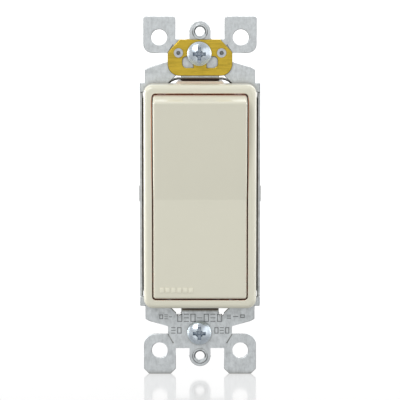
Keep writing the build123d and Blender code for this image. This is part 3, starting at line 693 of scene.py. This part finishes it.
class SWITCH_OT_clip(bpy.types.Operator):
    """Finish the grounding clip and its eyelets"""

    bl_idname = "switch.clip"
    bl_label = "Grounding clip"

    def execute(self, context):
        tints = context.scene.switch_colours
        sizes = context.scene.switch_sizes
        # Painted shade: the clip's broken edges, walls and recesses are darkened.
        gilt = metal("Clip brass", tints.gold, 0.30, scale=330.0, contrast=0.4, dark=0.7,
                     stretch=(0.14, 1, 1.4), lines=0.25, streaks=0.5,
                     edge_shade=shade(tints.gold, 0.22), recess_shade=(0.25, 0.17, 0.03))
        sheet_copy("grounding_clip", "housing", gilt, sizes.edge_round)
        # Painted shade: the eyelets' holes and recesses are darkened.
        dress(metal("Eyelet steel", (0.52, 0.55, 0.59), 0.3, recess_shade=(0.20, 0.22, 0.25)),
              "grounding_clip_rivets")
        return {"FINISHED"}


class SWITCH_OT_contacts(bpy.types.Operator):
    """Finish the terminals, the arm, the contacts and the spring"""

    bl_idname = "switch.contacts"
    bl_label = "Contacts and terminals"

    def execute(self, context):
        tints = context.scene.switch_colours
        dress(metal("Terminal brass", tints.brass, 0.32), "contact_arm", "arm_cradle",
              "common_terminal", "upper_traveler_terminal", "lower_traveler_terminal")
        dress(metal("Contact silver", (0.72, 0.72, 0.70), 0.25), "moving_contacts",
              "fixed_contacts")
        dress(metal("Spring wire", (0.42, 0.43, 0.45), 0.3), "plunger_spring")
        return {"FINISHED"}


class SWITCH_OT_small_screws(bpy.types.Operator):
    """Finish the terminal, ground and body screws"""

    bl_idname = "switch.small_screws"
    bl_label = "Small screws"

    def execute(self, context):
        tints = context.scene.switch_colours
        dress(metal("Black oxide", (0.055, 0.053, 0.05), 0.35, dark=0.5), "common_screw")
        dress(metal("Brass screw", tints.brass, 0.25), "upper_traveler_screw",
              "lower_traveler_screw")
        dress(metal("Green screw", tints.green, 0.3, dark=0.6, metallic=0.6), "ground_screw")
        dress(metal("Body screw zinc", (0.45, 0.46, 0.47), 0.35), "body_screws")
        return {"FINISHED"}


class SWITCH_OT_device_screws(bpy.types.Operator):
    """Finish the two device screws"""

    bl_idname = "switch.device_screws"
    bl_label = "Device screws"

    def execute(self, context):
        tints = context.scene.switch_colours
        sizes = context.scene.switch_sizes
        # Painted shade: the cross recesses are darkened to a blue-black.
        zinc = metal("Bright zinc", tints.bright, 0.16, scale=700.0, contrast=0.6, dark=0.6,
                     recess_shade=(0.07, 0.11, 0.17))
        bm = copy_of_node("mounting_screws")
        low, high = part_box("mounting_screws")
        centre_x = (low[0] + high[0]) / 2
        everything = bm.verts[:] + bm.edges[:] + bm.faces[:]
        bmesh.ops.bisect_plane(bm, geom=everything, plane_co=(0, SCREW_NECK_END, 0),
                               plane_no=(0, 1, 0), clear_outer=True)
        bmesh.ops.holes_fill(bm, edges=[edge for edge in bm.edges if edge.is_boundary])
        for centre_z in SCREW_CENTRES:
            add_thread(bm, centre_x, centre_z, (SCREW_NECK_END, high[1] - THREAD_STOP),
                       SCREW_RADIUS, sizes.thread_pitch, sizes.thread_depth)
            tip = Matrix.Translation((centre_x, high[1] - TIP_LENGTH / 2, centre_z))
            bmesh.ops.create_cone(bm, cap_ends=True, segments=THREAD_STEPS,
                                  radius1=SCREW_RADIUS - sizes.thread_depth,
                                  radius2=TIP_RADIUS, depth=TIP_LENGTH,
                                  matrix=tip @ Matrix.Rotation(-math.pi / 2, 4, "X"))
        smooth_by_angle(bm)
        finish_piece("mounting_screws_finished", "housing", bm, zinc,
                     ("mounting_screws",))
        return {"FINISHED"}


class SWITCH_OT_stage(bpy.types.Operator):
    """Set the floor, the surround, the lights and the camera"""

    bl_idname = "switch.stage"
    bl_label = "Stage"

    def execute(self, context):
        scene, setup = context.scene, context.scene.switch_stage
        scene.view_settings.view_transform = "Standard"
        self.add_floor(scene, setup)
        self.add_surround(scene, setup)
        self.add_lamps(scene, setup)
        self.add_camera(scene, setup)
        return {"FINISHED"}

    def add_floor(self, scene, setup):
        """A pale glossy floor under the switch, brighter to the camera than to the switch."""
        bm = bmesh.new()
        bmesh.ops.create_grid(bm, x_segments=1, y_segments=1, size=FLOOR_HALF,
                              matrix=Matrix.Translation((0, 0, cad_low.z)))
        mesh = bpy.data.meshes.new("floor")
        bm.to_mesh(mesh)
        bm.free()
        material, shader, nodes, link = start_material("Pale floor")
        shader.inputs["Base Color"].default_value = (0.05, 0.05, 0.05, 1)
        shader.inputs["Emission Color"].default_value = (1, 1, 1, 1)
        shader.inputs["Roughness"].default_value = 0.12
        path = nodes.new("ShaderNodeLightPath")
        glow = nodes.new("ShaderNodeMapRange")
        glow.inputs["To Min"].default_value = setup.floor_light
        glow.inputs["To Max"].default_value = setup.floor_seen
        link(path.outputs["Is Camera Ray"], glow.inputs["Value"])
        link(glow.outputs["Result"], shader.inputs["Emission Strength"])
        mesh.materials.append(material)
        floor = bpy.data.objects.new("floor", mesh)
        scene.collection.objects.link(floor)

    def add_surround(self, scene, setup):
        """A white surround, brighter behind the switch than behind the camera."""
        world = bpy.data.worlds.new("White surround")
        world.use_nodes = True
        nodes, link = world.node_tree.nodes, world.node_tree.links.new
        backing = nodes["Background"]
        backing.inputs["Color"].default_value = (1, 1, 1, 1)
        place = nodes.new("ShaderNodeTexCoord")
        split = nodes.new("ShaderNodeSeparateXYZ")
        depth = nodes.new("ShaderNodeMapRange")
        depth.inputs["From Min"].default_value = -0.7
        depth.inputs["From Max"].default_value = 0.7
        depth.inputs["To Min"].default_value = setup.sky_front
        depth.inputs["To Max"].default_value = setup.sky_back
        link(place.outputs["Generated"], split.inputs["Vector"])
        link(split.outputs["Y"], depth.inputs["Value"])
        path = nodes.new("ShaderNodeLightPath")
        seen = nodes.new("ShaderNodeMapRange")
        seen.inputs["To Max"].default_value = SURROUND_SEEN
        link(depth.outputs["Result"], seen.inputs["To Min"])
        link(path.outputs["Is Camera Ray"], seen.inputs["Value"])
        link(seen.outputs["Result"], backing.inputs["Strength"])
        scene.world = world

    def add_lamps(self, scene, setup):
        """Area lamps that face the switch."""
        for name, place, size, setting, share in LAMPS:
            lamp = bpy.data.lights.new(name, "AREA")
            lamp.energy = getattr(setup, setting) * share
            lamp.size = size
            light = bpy.data.objects.new(name, lamp)
            light.location = place
            light.rotation_euler = (-Vector(place)).to_track_quat("-Z", "Y").to_euler()
            scene.collection.objects.link(light)

    def add_camera(self, scene, setup):
        """A long lens a little above level, in front of the switch."""
        camera_data = bpy.data.cameras.new("camera")
        camera_data.lens = setup.lens
        camera_data.sensor_width = 36.0
        camera_data.clip_start = 0.01
        camera = bpy.data.objects.new("camera", camera_data)
        aim = Vector((0, 0, setup.aim_height))
        reach = Vector((0, -math.cos(setup.elevation), math.sin(setup.elevation)))
        camera.location = aim + setup.distance * reach
        camera.rotation_euler = (-reach).to_track_quat("-Z", "Y").to_euler()
        scene.collection.objects.link(camera)
        scene.camera = camera


class SWITCH_PT_panel(bpy.types.Panel):
    """Settings and steps of the switch"""

    bl_idname = "SWITCH_PT_panel"
    bl_label = "Rocker wall switch"
    bl_space_type = "VIEW_3D"
    bl_region_type = "UI"
    bl_category = "Switch"

    def draw(self, context):
        layout = self.layout
        for group in (context.scene.switch_colours, context.scene.switch_sizes,
                      context.scene.switch_stage):
            box = layout.box()
            for name in group.__annotations__:
                box.prop(group, name)
        for step in STEPS:
            layout.operator(step.bl_idname)


STEPS = (
    SWITCH_OT_stage,
    SWITCH_OT_plastic,
    SWITCH_OT_strap,
    SWITCH_OT_clip,
    SWITCH_OT_contacts,
    SWITCH_OT_small_screws,
    SWITCH_OT_device_screws,
)
SETTINGS = {"switch_colours": SwitchColours, "switch_sizes": SwitchSizes,
            "switch_stage": SwitchStage}


def register():
    """Add the settings, the steps and the panel."""
    for group in (*SETTINGS.values(), *STEPS, SWITCH_PT_panel):
        bpy.utils.register_class(group)
    for name, group in SETTINGS.items():
        setattr(bpy.types.Scene, name, bpy.props.PointerProperty(type=group))


def unregister():
    """Take them away again."""
    for name in SETTINGS:
        delattr(bpy.types.Scene, name)
    for group in (SWITCH_PT_panel, *reversed(STEPS), *SETTINGS.values()):
        bpy.utils.unregister_class(group)


def main():
    """Run every step."""
    register()
    for step in STEPS:
        prefix, name = step.bl_idname.split(".")
        getattr(getattr(bpy.ops, prefix), name)()


if __name__ == "__main__":
    main()
